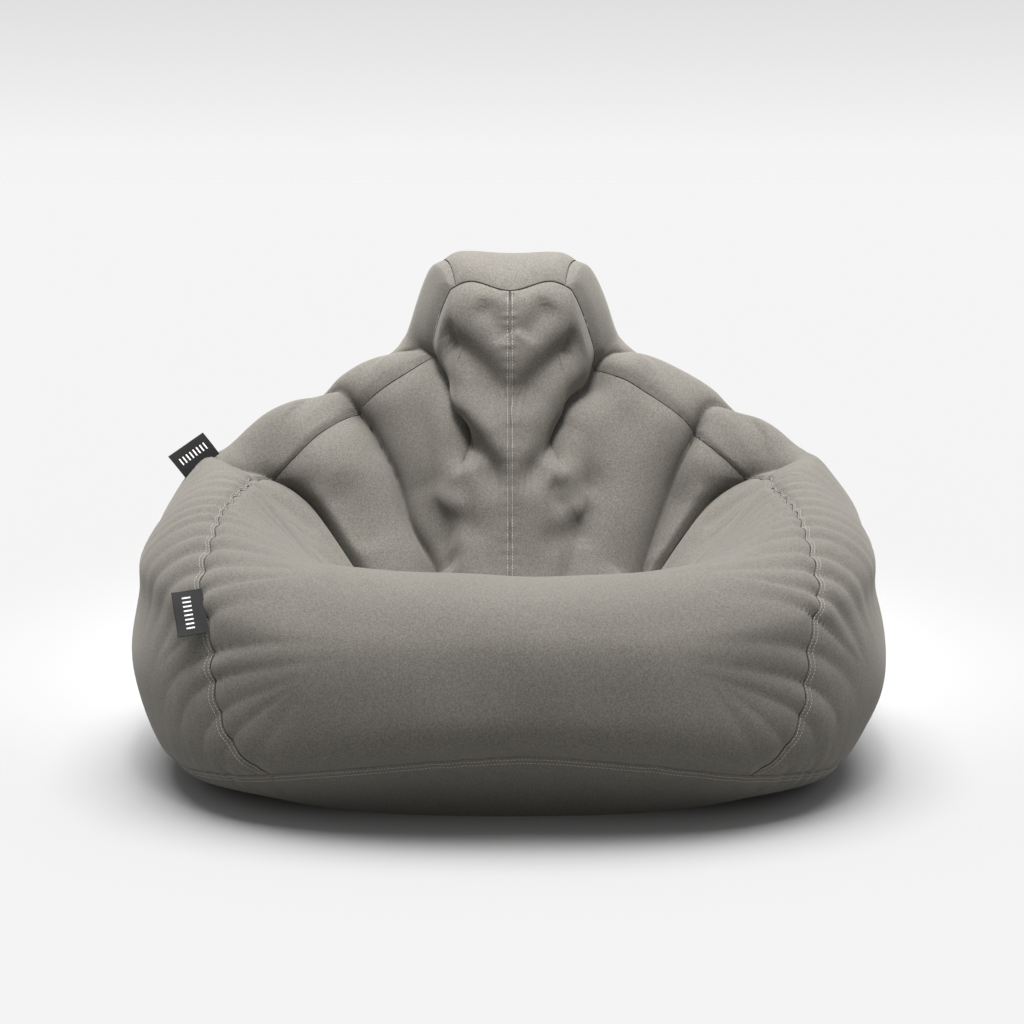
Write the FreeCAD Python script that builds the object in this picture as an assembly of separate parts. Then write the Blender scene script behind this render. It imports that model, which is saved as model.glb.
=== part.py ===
import FreeCAD, Part
import math
import os

# Lounge bean bag chair: a sewn fabric cover, an inner liner and a bead filling.
# Millimetres, +Z up, floor at z = 0, the sitter faces -Y.
#
# The whole body is one smooth skin, skin(bearing, rise):
#   bearing  degrees round the seat, 0 at the front, 90 on the +X side, 180 at
#            the back, negative on the -X side
#   rise     0 where the base meets the floor, over the rim, to 1 at the bottom
#            of the seat pit
# Every panel is a four-sided piece of that skin between its seams.

Vector = FreeCAD.Vector

# ---- driving dimensions -------------------------------------------------------
PIT_HALF = 120.0           # the bottom of the pit is a line this long each way
PIT_HEIGHT = 150.0
PIT_Y = 4.9                # sets the outline's centre on the origin
PIT_CORNER = 124.0         # bearing where crease and pit line meet

COVER = 2.0                # thickness of the cover fabric
COVER_TO_LINER = 4.0       # gap between cover and liner
LINER = 1.0                # thickness of the liner
LINER_TO_FILL = 3.0
SEAM_GAP = 0.8             # between two panels at a seam

ZIP_POCKET = 1.6           # the liner lies this much deeper behind the zip
ZIP_CHAIN = 300.0          # length of the closed zip
ZIP_FOOT_RISE = 0.318      # where the zip starts on the rear seam
ZIP_HEAD_RISE = 0.465

# Flat outline of the floor contact, base seam, widest bulge and flank:
# half width, front depth, rear depth, squareness.
CONTACT = (385.0, 330.0, 350.0, 2.5)
BASE_SEAM = (435.0, 430.0, 420.0, 2.9)
BULGE = (490.0, 455.0, 445.0, 2.4)
FLANK = (478.0, 437.0, 432.0, 2.4)

BEARINGS = (0, 36, 60, 90, 118, 130, 142, 150, 156, 161.5, 168, 180)
BASE_SEAM_HEIGHT = (97, 56, 30, 20, 20, 21, 25, 30, 35, 40, 45, 45)
BULGE_HEIGHT = (160, 155, 150, 145, 140, 135, 130, 130, 130, 130, 130, 130)
FLANK_HEIGHT = (215, 220, 228, 232, 232, 230, 224, 216, 208, 202, 196, 195)

# The upper rings: reach from the pit line, then height, at each bearing.
UPPER_RINGS = (
    # waist
    ((415, 420, 390, 347, 384, 384, 378, 369, 361, 355, 351, 350.6),
     (245, 252, 272, 288, 296, 318, 340, 358, 372, 390, 400, 401)),
    # shoulder
    ((372, 378, 350, 312, 356, 350, 331, 316, 307, 301, 298, 297.2),
     (270, 282, 312, 336, 355, 400, 435, 460, 485, 523, 536, 536)),
    # rim
    ((290, 300, 275, 250, 319, 290, 279, 264, 254, 236, 227, 223),
     (282, 292, 325, 360, 385, 437, 475, 503, 528, 629, 645, 647)),
    # inside edge of the rim
    ((215, 215, 200, 195, 260, 235, 230, 222, 212, 148, 138, 134),
     (262, 266, 290, 325, 345, 400, 440, 468, 495, 604, 616, 603)),
    # inside, middle
    ((160, 155, 145, 150, 200, 195, 190, 185, 172, 125, 112, 106),
     (222, 225, 245, 275, 295, 340, 370, 390, 410, 490, 500, 500)),
    # inside, low
    ((105, 100, 95, 100, 135, 140, 140, 138, 132, 110, 96, 90),
     (182, 182, 195, 220, 238, 265, 285, 295, 300, 350, 360, 360)),
    # seat
    ((50, 50, 45, 45, 60, 65, 70, 70, 68, 60, 56, 52),
     (158, 158, 162, 172, 180, 192, 200, 205, 208, 220, 225, 225)),
)
RING_RISE = (0, 0.095, 0.21, 0.30, 0.39, 0.475, 0.565, 0.65, 0.735, 0.83, 0.925, 1.0)

BASE_RISE = 0.095          # the base seam
SHOULDER_RISE = 0.65       # seam between the back and the sides, cap front edge
CAP_REAR_RISE = 0.505      # rear edge of the cap
CAP_CORNER = 163.0         # bearing of the cap's side edges

# Seams as (bearing, rise) stations on the +X side; the -X side mirrors them.
SIDE_SEAM = ((30, 0.095), (35.5, 0.165), (39, 0.25), (43, 0.37), (51, 0.485),
             (67, 0.555), (86, 0.595), (106, 0.63), (120.5, 0.65))
CREASE_SEAM = ((120.5, 0.65), (122.5, 0.70), (124, 0.775), (124, 0.87), (124, 1.0))
REAR_SEAM = ((140, 0.095), (143, 0.20), (147, 0.30), (153, 0.40),
             (160, 0.47), (163, 0.505), (163.5, 0.57), (163, 0.65))
CAP_STATION = 5            # the station of the rear seam where the cap's side begins

LABEL = (33.0, 62.0, 1.2)  # how far it sticks out, length of its sewn edge, thickness

SLIDER_LENGTH = 11.0
PULL_LENGTH = 30.0


# ---- small maths ----------------------------------------------------------------
def smooth(keys, values, x):
    """Monotone cubic through (keys, values), level at both ends."""
    steps = [b - a for a, b in zip(keys, keys[1:])]
    slopes = [(b - a) / h for a, b, h in zip(values, values[1:], steps)]
    tangents = [0.0] * len(keys)
    for i in range(1, len(keys) - 1):
        if slopes[i - 1] * slopes[i] > 0:
            w1 = 2 * steps[i] + steps[i - 1]
            w2 = steps[i] + 2 * steps[i - 1]
            tangents[i] = (w1 + w2) / (w1 / slopes[i - 1] + w2 / slopes[i])
    i = 0
    while i < len(keys) - 2 and x > keys[i + 1]:
        i += 1
    t = (x - keys[i]) / steps[i]
    return (values[i] * (1 + 2 * t) * (1 - t) ** 2
            + tangents[i] * steps[i] * t * (1 - t) ** 2
            + values[i + 1] * t * t * (3 - 2 * t)
            + tangents[i + 1] * steps[i] * t * t * (t - 1))


def ease(x, start, end):
    """0 before start, 1 after end, smooth between."""
    t = min(max((x - start) / (end - start), 0.0), 1.0)
    return t * t * (3 - 2 * t)


def outline_reach(bearing, outline):
    """Reach from the pit line to a squared oval at this bearing."""
    half_width, front, rear, squareness = outline
    s, c = math.sin(math.radians(bearing)), math.cos(math.radians(bearing))
    depth = front if c > 0 else rear
    low, high = 0.0, 800.0
    for _ in range(40):
        mid = (low + high) / 2
        inside = (abs((PIT_HALF + mid) * s / half_width) ** squareness
                  + abs(mid * c / depth) ** squareness)
        if inside < 1:
            low = mid
        else:
            high = mid
    return low


def natural_spline(knots, values):
    """Second derivatives of the natural cubic through (knots, values)."""
    n = len(knots)
    h = [b - a for a, b in zip(knots, knots[1:])]
    upper, right = [0.0] * n, [0.0] * n
    for i in range(1, n - 1):
        load = 6 * ((values[i + 1] - values[i]) / h[i] - (values[i] - values[i - 1]) / h[i - 1])
        pivot = 2 * (h[i - 1] + h[i]) - h[i - 1] * upper[i - 1]
        upper[i] = h[i] / pivot
        right[i] = (load - h[i - 1] * right[i - 1]) / pivot
    bend = [0.0] * n
    for i in range(n - 2, 0, -1):
        bend[i] = right[i] - upper[i] * bend[i + 1]
    return bend


def spline_value(knots, values, bend, x):
    i = 0
    while i < len(knots) - 2 and x > knots[i + 1]:
        i += 1
    h = knots[i + 1] - knots[i]
    a, b = (knots[i + 1] - x) / h, (x - knots[i]) / h
    return (a * values[i] + b * values[i + 1]
            + ((a ** 3 - a) * bend[i] + (b ** 3 - b) * bend[i + 1]) * h * h / 6)


# ---- the skin -------------------------------------------------------------------
PROFILES = {}


def profile(bearing):
    """Reach and height splines of the section at one bearing."""
    key = round(bearing, 4)
    if key not in PROFILES:
        reach = [outline_reach(key, o) for o in (CONTACT, BASE_SEAM, BULGE, FLANK)]
        height = [0.0] + [smooth(BEARINGS, h, key)
                          for h in (BASE_SEAM_HEIGHT, BULGE_HEIGHT, FLANK_HEIGHT)]
        for ring_reach, ring_height in UPPER_RINGS:
            reach.append(smooth(BEARINGS, ring_reach, key))
            height.append(smooth(BEARINGS, ring_height, key))
        reach.append(0.0)
        height.append(PIT_HEIGHT)
        PROFILES[key] = (reach, natural_spline(RING_RISE, reach),
                         height, natural_spline(RING_RISE, height))
    return PROFILES[key]


def skin(bearing, rise):
    """A point of the outer skin."""
    side = 1.0
    if bearing > 180:
        bearing, side = 360 - bearing, -1.0
    if bearing < 0:
        bearing, side = -bearing, -side
    reach, reach_bend, height, height_bend = profile(bearing)
    r = spline_value(RING_RISE, reach, reach_bend, rise)
    z = spline_value(RING_RISE, height, height_bend, rise)
    s, c = math.sin(math.radians(bearing)), math.cos(math.radians(bearing))
    if bearing <= PIT_CORNER:
        along_pit = bearing / PIT_CORNER
    else:
        along_pit = (180 - bearing) / (180 - PIT_CORNER)
    near_pit = math.exp(-(r / 18.0) ** 2)
    x = PIT_HALF * ((1 - near_pit) * s + near_pit * along_pit) + r * s
    return Vector(side * x, PIT_Y - r * c, max(z, 0.0))


def outward(bearing, rise):
    """Unit normal of the skin, pointing out of the body."""
    if rise > 0.9999:
        return Vector(0, 0, 1)
    step = 0.002
    across = skin(bearing + 0.4, rise) - skin(bearing - 0.4, rise)
    along = skin(bearing, min(rise + step, 1.0)) - skin(bearing, max(rise - step, 0.0))
    normal = across.cross(along)
    normal.normalize()
    return normal


def sunk(bearing, rise, depth):
    """A point under the skin; straight above the floor edge at rise 0."""
    level = 1 - ease(rise, 0.0, 0.07)
    direction = Vector(0, 0, 1) * level - outward(bearing, rise) * (1 - level)
    direction.normalize()
    return skin(bearing, rise) + direction * depth


def zip_pocket(bearing, rise):
    """Extra depth of the liner behind the zip."""
    bearing = abs(bearing if bearing <= 180 else 360 - bearing)
    along_zip = ease(rise, 0.08, 0.25) * (1 - ease(rise, 0.60, 0.75))
    return ZIP_POCKET * ease(bearing, 170.0, 177.0) * along_zip


# ---- surfaces and solids from grids of points -------------------------------------
def bezier_row(points):
    """Poles of the smooth curve through points, double knots between spans."""
    last = len(points) - 1
    poles = []
    for i, p in enumerate(points):
        before = points[max(i - 1, 0)]
        after = points[min(i + 1, last)]
        tangent = (after - before) * (1.0 if i in (0, last) else 0.5)
        if i > 0:
            poles.append(p - tangent / 3)
        else:
            poles.append(p)
        if i < last:
            poles.append(p + tangent / 3)
        else:
            poles.append(p)
    return poles


def knots_of(spans):
    return [4] + [2] * (spans - 1) + [4], [float(k) for k in range(spans + 1)]


def smooth_face(grid):
    """A smooth face through a grid of points, grid[u][v]."""
    rows = [bezier_row(row) for row in grid]
    columns = [bezier_row([row[k] for row in rows]) for k in range(len(rows[0]))]
    poles = [[column[i] for column in columns] for i in range(len(columns[0]))]
    u_mults, u_knots = knots_of(len(grid) - 1)
    v_mults, v_knots = knots_of(len(grid[0]) - 1)
    surface = Part.BSplineSurface()
    surface.buildFromPolesMultsKnots(poles, u_mults, v_mults, u_knots, v_knots,
                                     False, False, 3, 3)
    return surface.toShape()


def edge_face(outer, inner):
    """The narrow face between two matching rows of points."""
    poles = [bezier_row(outer), bezier_row(inner)]
    mults, knots = knots_of(len(outer) - 1)
    surface = Part.BSplineSurface()
    surface.buildFromPolesMultsKnots(poles, [2, 2], mults, [0.0, 1.0], knots,
                                     False, False, 1, 3)
    return surface.toShape()


def flat_face(rows):
    """A flat face inside a closed loop made of rows of points."""
    edges = []
    for row in rows:
        curve = Part.BSplineCurve()
        mults, knots = knots_of(len(row) - 1)
        curve.buildFromPolesMultsKnots(bezier_row(row), mults, knots, False, 3)
        edges.append(curve.toShape())
    return Part.Face(Part.Wire(edges))


def closed_solid(faces):
    shell = Part.Shell(faces)
    shell.sewShape()
    solid = Part.Solid(shell)
    if solid.Volume < 0:
        solid.reverse()
    return solid


def sheet_solid(outer, inner):
    """A fabric panel between an outer and an inner grid of points."""
    faces = [smooth_face(outer), smooth_face(inner)]
    faces.append(edge_face(outer[0], inner[0]))
    faces.append(edge_face(outer[-1], inner[-1]))
    faces.append(edge_face([row[0] for row in outer], [row[0] for row in inner]))
    faces.append(edge_face([row[-1] for row in outer], [row[-1] for row in inner]))
    return closed_solid(faces)


def drawn_in(grid, gap):
    """The grid with its four edges moved inwards by gap."""
    grid = [list(row) for row in grid]
    for row in grid:
        row[0] = row[0] + (row[1] - row[0]).normalize() * gap
        row[-1] = row[-1] + (row[-2] - row[-1]).normalize() * gap
    for k in range(len(grid[0])):
        grid[0][k] = grid[0][k] + (grid[1][k] - grid[0][k]).normalize() * gap
        grid[-1][k] = grid[-1][k] + (grid[-2][k] - grid[-1][k]).normalize() * gap
    return grid


# ---- seams in bearing and rise ------------------------------------------------------
def seam(stations, t):
    """Point at t = 0..1 along a seam given by stations."""
    lengths = [math.hypot((b[0] - a[0]) / 130, b[1] - a[1])
               for a, b in zip(stations, stations[1:])]
    marks = [0.0]
    for length in lengths:
        marks.append(marks[-1] + length)
    total = marks[-1]
    marks = [m / total for m in marks]
    bend = [natural_spline(marks, [s[k] for s in stations]) for k in (0, 1)]
    return tuple(spline_value(marks, [s[k] for s in stations], bend[k], t) for k in (0, 1))


def share_of(stations, index):
    """The t at which a seam passes its station of that index."""
    lengths = [math.hypot((b[0] - a[0]) / 130, b[1] - a[1])
               for a, b in zip(stations, stations[1:])]
    return sum(lengths[:index]) / sum(lengths)


def straight(a, b):
    return lambda t: (a[0] + (b[0] - a[0]) * t, a[1] + (b[1] - a[1]) * t)


def along(*parts):
    """One edge through several seams, each given its share of t."""
    def point(t):
        start = 0.0
        for stations, share in parts:
            if t <= start + share + 1e-9:
                return seam(stations, min(max((t - start) / share, 0.0), 1.0))
            start += share
        return seam(parts[-1][0], 1.0)
    return point


def mirrored(edge):
    def point(t):
        bearing, rise = edge(t)
        return 360 - bearing, rise
    return point


def negative(edge):
    def point(t):
        bearing, rise = edge(t)
        return -bearing, rise
    return point


def spread(bottom, top, left, right, columns, rows):
    """Fill four edges with a grid of (bearing, rise): u to the right, v upwards."""
    grid = []
    for i in range(columns + 1):
        u = i / columns
        column = []
        for j in range(rows + 1):
            w = j / rows
            corner = [(1 - u) * (1 - w) * bottom(0)[k] + u * (1 - w) * bottom(1)[k]
                      + (1 - u) * w * top(0)[k] + u * w * top(1)[k] for k in (0, 1)]
            column.append(tuple(
                (1 - w) * bottom(u)[k] + w * top(u)[k] + (1 - u) * left(w)[k]
                + u * right(w)[k] - corner[k] for k in (0, 1)))
        grid.append(column)
    return grid


def cover_panel(stations):
    """A cover panel over a grid of (bearing, rise)."""
    outer = [[skin(b, min(r, 1.0)) for b, r in column] for column in stations]
    inner = [[sunk(b, min(r, 1.0), COVER) for b, r in column] for column in stations]
    gap = SEAM_GAP / 2
    return sheet_solid(drawn_in(outer, gap), drawn_in(inner, gap))


# ---- the cover --------------------------------------------------------------------
def front_panel():
    side = along((SIDE_SEAM, 0.62), (CREASE_SEAM, 0.38))
    end = SIDE_SEAM[0][0]
    stations = spread(straight((-end, BASE_RISE), (end, BASE_RISE)),
                      straight((-PIT_CORNER, 1.0), (PIT_CORNER, 1.0)),
                      negative(side), side, 36, 44)
    return cover_panel(stations)


def side_stations():
    rear = SIDE_SEAM[0][0], REAR_SEAM[0][0]
    return spread(straight((rear[0], BASE_RISE), (rear[1], BASE_RISE)),
                  straight((SIDE_SEAM[-1][0], SHOULDER_RISE), (CAP_CORNER, SHOULDER_RISE)),
                  along((SIDE_SEAM, 1.0)), along((REAR_SEAM, 1.0)), 30, 36)


def back_stations():
    return spread(straight((CREASE_SEAM[0][0], SHOULDER_RISE), (180, SHOULDER_RISE)),
                  straight((PIT_CORNER, 1.0), (180, 1.0)),
                  along((CREASE_SEAM, 1.0)), straight((180, SHOULDER_RISE), (180, 1.0)), 24, 26)


def rear_stations():
    share = share_of(REAR_SEAM, CAP_STATION)
    return spread(straight((REAR_SEAM[0][0], BASE_RISE), (180, BASE_RISE)),
                  straight((CAP_CORNER, CAP_REAR_RISE), (180, CAP_REAR_RISE)),
                  lambda t: seam(REAR_SEAM, t * share),
                  straight((180, BASE_RISE), (180, CAP_REAR_RISE)), 16, 30)


def cap_stations():
    share = share_of(REAR_SEAM, CAP_STATION)

    def left(t):
        return seam(REAR_SEAM, share + (1 - share) * t)
    return spread(straight((CAP_CORNER, CAP_REAR_RISE), (360 - CAP_CORNER, CAP_REAR_RISE)),
                  straight((CAP_CORNER, SHOULDER_RISE), (360 - CAP_CORNER, SHOULDER_RISE)),
                  left, mirrored(left), 18, 12)


def other_side(stations):
    return [[(360 - b, r) for b, r in column] for column in stations]


def ring_rows(depth, rise_from, rise_to, rows, bearings):
    return [[sunk(b, rise_from + (rise_to - rise_from) * j / rows, depth)
             for j in range(rows + 1)] for b in bearings]


def even(start, end, count):
    return [start + (end - start) * i / count for i in range(count + 1)]


def base_panel():
    """The base: a flat disc on the floor turned up to the base seam."""
    faces = []
    rims = {0.0: [], COVER: []}
    top = BASE_RISE - 0.0004
    for start, end in ((-PIT_CORNER, PIT_CORNER), (PIT_CORNER, 360 - PIT_CORNER)):
        bearings = even(start, end, 48 if end == PIT_CORNER else 28)
        outer = ring_rows(0.0, 0.0, top, 8, bearings)
        inner = ring_rows(COVER, 0.0, top, 8, bearings)
        faces += [smooth_face(outer), smooth_face(inner)]
        faces.append(edge_face([c[-1] for c in outer], [c[-1] for c in inner]))
        rims[0.0].append([c[0] for c in outer])
        rims[COVER].append([c[0] for c in inner])
    faces += [flat_face(rims[0.0]), flat_face(rims[COVER])]
    return closed_solid(faces)


# ---- liner and filling ------------------------------------------------------------
def body_grid(depth, start, end, columns):
    rises = even(0.0, 1.0, 60)
    return [[sunk(b, r, depth + zip_pocket(b, r)) for r in rises]
            for b in even(start, end, columns)]


def liner_panel(start, end, columns):
    depth = COVER + COVER_TO_LINER
    outer = body_grid(depth, start, end, columns)
    inner = body_grid(depth + LINER, start, end, columns)
    gap = SEAM_GAP
    return sheet_solid(drawn_in(outer, gap), drawn_in(inner, gap))


def liner_base():
    depth = COVER + COVER_TO_LINER
    rim = []
    for start, end, count in ((-PIT_CORNER, PIT_CORNER, 48),
                              (PIT_CORNER, 360 - PIT_CORNER, 28)):
        row = [skin(b, 0.0) for b in even(start, end, count)]
        rim.append([Vector(p.x * 0.999, p.y * 0.999, depth) for p in row])
    return flat_face(rim).extrude(Vector(0, 0, LINER))


def bead_fill():
    depth = COVER + COVER_TO_LINER + LINER + LINER_TO_FILL
    faces, rims = [], []
    for start, end, columns in ((-PIT_CORNER, PIT_CORNER, 48),
                                (PIT_CORNER, 360 - PIT_CORNER, 36)):
        grid = body_grid(depth, start, end, columns)
        faces.append(smooth_face(grid))
        rims.append([column[0] for column in grid])
    faces.append(flat_face(rims))
    return closed_solid(faces)


# ---- the rear zip -------------------------------------------------------------------
def zip_frame():
    """Foot of the zip on the rear seam, its direction upwards and outwards."""
    foot = skin(180, ZIP_FOOT_RISE)
    head = skin(180, ZIP_HEAD_RISE)
    up = (head - foot).normalize()
    out = Vector(0, up.z, -up.y)
    return foot, up, out


ZIP_FOOT, ZIP_UP, ZIP_OUT = zip_frame()


def zip_box(x, out, up):
    """A box in zip coordinates: x across, out from the fabric, up the zip."""
    box = Part.makeBox(x[1] - x[0], out[1] - out[0], up[1] - up[0],
                       Vector(x[0], out[0], up[0]))
    return place_on_zip(box)


def place_on_zip(shape):
    axes = FreeCAD.Matrix(1, 0, 0, ZIP_FOOT.x,
                          0, ZIP_OUT.y, ZIP_UP.y, ZIP_FOOT.y,
                          0, ZIP_OUT.z, ZIP_UP.z, ZIP_FOOT.z,
                          0, 0, 0, 1)
    shape = shape.copy()
    shape.transformShape(axes)
    return shape


TAPE_WIDTH = (0.9, 14.0)
TAPE_DEPTH = (-4.0, -3.4)
COIL_WIDTH = (0.9, 3.4)
COIL_DEPTH = (-3.4, -1.0)
SLOT_HALF = 4.3
SLOT_END = 9.0


def rear_slot():
    return zip_box((-SLOT_HALF, SLOT_HALF), (-8, 8), (-SLOT_END, ZIP_CHAIN + SLOT_END))


def mirrored_span(span, side):
    return span if side > 0 else (-span[1], -span[0])


def zip_tape(side):
    return zip_box(mirrored_span(TAPE_WIDTH, side), TAPE_DEPTH, (-12, ZIP_CHAIN + 12))


def zip_coil(side):
    return zip_box(mirrored_span(COIL_WIDTH, side), COIL_DEPTH, (0, ZIP_CHAIN))


def zip_stop(start):
    stop = zip_box((-3.4, 3.4), (COIL_DEPTH[0], -0.7), (start, start + 3.5))
    return stop


def zip_slider():
    """Two plates round the coils joined by a web, with a loop for the pull."""
    start, end = 0.5, 0.5 + SLIDER_LENGTH
    middle = (start + end) / 2
    upper = zip_box((-3.9, 3.9), (-0.65, 0.65), (start, end))
    lower = zip_box((-3.9, 3.9), (-5.6, -4.4), (start, end))
    web = zip_box((-0.5, 0.5), (-4.5, -0.6), (start + 5, end - 1))
    slider = upper.fuse([lower, web])
    for side in (-1, 1):
        post = mirrored_span((2.3, 3.3), side)
        slider = slider.fuse(zip_box(post, (0.6, 3.4), (middle - 1.0, middle + 1.0)))
    bar = Part.makeCylinder(0.7, 5.0, Vector(-2.5, 2.6, middle), Vector(1, 0, 0))
    return slider.fuse(place_on_zip(bar)).removeSplitter()


def zip_pull():
    """The pull tab hangs down the slope from the slider's bar."""
    middle = 0.5 + SLIDER_LENGTH / 2
    axis = Vector(1, 0, 0)
    eye = Part.makeCylinder(1.6, 3.6, Vector(-1.8, 2.6, middle), axis)
    neck = Part.makeBox(3.6, 1.2, 3.4, Vector(-1.8, 1.0, middle - 3.4))
    tab = Part.makeBox(7.0, 1.2, PULL_LENGTH - 3.0, Vector(-3.5, 1.0, middle - PULL_LENGTH))
    tab = tab.makeFillet(2.0, [e for e in tab.Edges
                               if abs(e.tangentAt(e.FirstParameter).y) > 0.9])
    hole = Part.makeCylinder(1.05, 6.0, Vector(-3.0, 2.6, middle), axis)
    window = Part.makeBox(3.0, 3.0, 9.0, Vector(-1.5, 0.0, middle - PULL_LENGTH + 13))
    pull = eye.fuse([neck, tab]).cut(hole).cut(window).removeSplitter()
    return place_on_zip(pull)


# ---- labels ---------------------------------------------------------------------
def label_on_edge(start, end, lean, away):
    """A folded label whose long edge runs from start to end, leaning by a direction."""
    run = (end - start).normalize()
    reach = (lean - run * lean.dot(run)).normalize()
    thick = run.cross(reach)
    middle = (start + end) / 2 + away
    width, length, thickness = LABEL
    axes = FreeCAD.Matrix(reach.x, run.x, thick.x, middle.x,
                          reach.y, run.y, thick.y, middle.y,
                          reach.z, run.z, thick.z, middle.z,
                          0, 0, 0, 1)
    blank = Part.makeBox(width, length, thickness, Vector(0, -length / 2, -thickness / 2))
    blank = blank.makeFillet(0.5, [blank.Edges[k] for k in range(12)
                                   if blank.Edges[k].Length > width + 1
                                   and blank.Edges[k].CenterOfMass.x > width / 2])
    blank.transformShape(axes)
    return blank


def side_label():
    """Sewn into the -X side seam, standing off the side panel."""
    upper = skin(-(45.0), 0.42)
    lower = skin(-(40.2), 0.30)
    away = outward(-42.0, 0.36) * 6.0
    return label_on_edge(lower, upper, Vector(-1.0, 0.10, 0.05), away)


def shoulder_label():
    """Sewn on the outside of the -X arm where the crease comes over it."""
    lower = skin(-104.0, 0.48)
    upper = skin(-112.5, 0.575)
    away = outward(-108.0, 0.53) * 9.0
    return label_on_edge(lower, upper, Vector(-0.6, 0.1, 0.8), away)


# ---- build ----------------------------------------------------------------------
def build():
    slot = rear_slot()
    nodes = {
        "cover_base_panel": base_panel(),
        "cover_front_panel": front_panel(),
        "cover_side_panel_left": cover_panel(other_side(side_stations())),
        "cover_side_panel_right": cover_panel(side_stations()),
        "cover_backrest_panel_left": cover_panel(other_side(back_stations())),
        "cover_backrest_panel_right": cover_panel(back_stations()),
        "cover_rear_panel_left": cover_panel(other_side(rear_stations())).cut(slot),
        "cover_rear_panel_right": cover_panel(rear_stations()).cut(slot),
        "cover_top_cap": cover_panel(cap_stations()),
        "liner_front_panel_left": liner_panel(-PIT_CORNER, 0.0, 24),
        "liner_front_panel_right": liner_panel(0.0, PIT_CORNER, 24),
        "liner_rear_panel": liner_panel(PIT_CORNER, 360 - PIT_CORNER, 36),
        "liner_base_panel": liner_base(),
        "bead_fill": bead_fill(),
        "rear_zip_tape_left": zip_tape(-1),
        "rear_zip_tape_right": zip_tape(1),
        "rear_zip_coil_left": zip_coil(-1),
        "rear_zip_coil_right": zip_coil(1),
        "rear_zip_lower_stop": zip_stop(-3.5),
        "rear_zip_upper_stop": zip_stop(ZIP_CHAIN),
        "rear_zip_slider": zip_slider(),
        "rear_zip_pull": zip_pull(),
        "side_label": side_label(),
        "shoulder_label": shoulder_label(),
    }
    os.makedirs("parts", exist_ok=True)
    for name, shape in nodes.items():
        solid = shape.Solids[0] if len(shape.Solids) == 1 else shape
        solid.exportStep("parts/" + name + ".step")
        box = solid.BoundBox
        print("%-28s solids %d valid %s volume %.1f cm3 z %.1f..%.1f" % (
            name, len(shape.Solids), solid.isValid(), solid.Volume / 1000, box.ZMin, box.ZMax))
    print("zip foot", ZIP_FOOT, "up", ZIP_UP)


build()
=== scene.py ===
import math

import bpy
import numpy as np
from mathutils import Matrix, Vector


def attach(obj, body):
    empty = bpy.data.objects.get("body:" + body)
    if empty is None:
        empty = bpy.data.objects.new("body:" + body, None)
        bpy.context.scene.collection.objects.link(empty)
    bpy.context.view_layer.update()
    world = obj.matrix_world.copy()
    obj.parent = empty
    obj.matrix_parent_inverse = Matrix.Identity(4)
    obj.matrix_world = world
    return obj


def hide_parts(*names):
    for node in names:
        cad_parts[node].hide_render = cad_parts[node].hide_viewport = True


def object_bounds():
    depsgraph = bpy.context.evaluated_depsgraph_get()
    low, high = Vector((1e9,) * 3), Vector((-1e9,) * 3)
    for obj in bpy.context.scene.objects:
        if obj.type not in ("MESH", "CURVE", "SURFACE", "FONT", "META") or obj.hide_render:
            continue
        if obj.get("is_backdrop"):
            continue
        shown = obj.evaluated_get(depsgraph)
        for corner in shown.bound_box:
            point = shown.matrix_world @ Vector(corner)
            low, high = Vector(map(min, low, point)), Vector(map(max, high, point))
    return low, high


# Lounge bean bag chair. Metres, +Z up, the seat faces -Y.
# The cover is drawn on one smooth skin, skin(bearing, rise), as in the CAD source, and
# every panel is a fine grid over it, shaped by folds, puckers and seams.

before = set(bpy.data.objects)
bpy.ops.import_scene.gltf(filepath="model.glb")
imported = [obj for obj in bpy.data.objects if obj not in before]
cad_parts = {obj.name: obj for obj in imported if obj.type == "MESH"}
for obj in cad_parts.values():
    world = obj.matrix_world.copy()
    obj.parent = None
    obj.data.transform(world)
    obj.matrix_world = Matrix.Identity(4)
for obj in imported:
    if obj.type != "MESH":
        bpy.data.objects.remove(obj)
corners = [list(c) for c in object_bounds()]

# ---- the skin ---------------------------------------------------------------------
PIT_HALF, PIT_HEIGHT, PIT_Y, PIT_CORNER = 0.120, 0.150, 0.0049, 124.0
BEARINGS = np.array([0, 36, 60, 90, 118, 130, 142, 150, 156, 161.5, 168, 180])
# half width, front depth, rear depth, squareness, heights (mm) at each bearing
OUTLINES = [
    (0.385, 0.330, 0.350, 2.5, [0] * 12),
    (0.435, 0.430, 0.420, 2.9, [97, 56, 30, 20, 20, 21, 25, 30, 35, 40, 45, 45]),
    (0.490, 0.455, 0.445, 2.4, [160, 155, 150, 145, 140, 135, 130, 130, 130, 130, 130, 130]),
    (0.478, 0.437, 0.432, 2.4, [215, 220, 228, 232, 232, 230, 224, 216, 208, 202, 196, 195]),
]
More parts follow.
